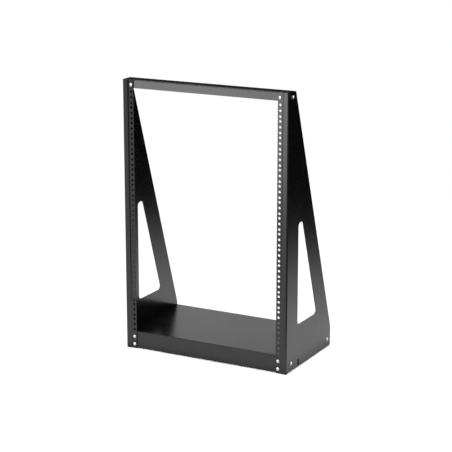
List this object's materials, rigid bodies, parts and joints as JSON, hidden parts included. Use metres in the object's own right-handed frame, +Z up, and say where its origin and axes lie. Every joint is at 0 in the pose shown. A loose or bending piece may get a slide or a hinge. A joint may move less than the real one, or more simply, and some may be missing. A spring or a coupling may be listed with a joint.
{
  "type": "two-post open frame rack",
  "caption": "Open frame equipment rack of folded sheet steel: tapered side panels with drilled mounting rails, joined by a top bar and a base tray.",
  "frame": {"origin": "on the floor below the middle of the rack's bounding box", "axes": "+Z up, the front of the rack with its mounting rails faces -Y, +X to the right seen from the front"},
  "size_m": [0.525, 0.2957, 0.79],
  "materials": {
    "coat": "black powder coat, semi-gloss",
    "zinc": "bright zinc plate"
  },
  "bodies": {
    "root": {"left_side_panel": "coat", "right_side_panel": "coat", "top_bar": "coat", "base_tray": "coat", "screw_front_top_left": "zinc", "screw_front_top_right": "zinc", "screw_front_upper_left": "zinc", "screw_front_upper_right": "zinc", "screw_front_lower_left": "zinc", "screw_front_lower_right": "zinc", "screw_side_top_left": "zinc", "screw_side_top_right": "zinc", "screw_side_front_left": "zinc", "screw_side_front_right": "zinc", "screw_side_rear_left": "zinc", "screw_side_rear_right": "zinc", "nut_front_top_left": "zinc", "nut_front_top_right": "zinc", "nut_front_upper_left": "zinc", "nut_front_upper_right": "zinc", "nut_front_lower_left": "zinc", "nut_front_lower_right": "zinc", "nut_side_top_left": "zinc", "nut_side_top_right": "zinc", "nut_side_front_left": "zinc", "nut_side_front_right": "zinc", "nut_side_rear_left": "zinc", "nut_side_rear_right": "zinc"}
  },
  "joints": []
}
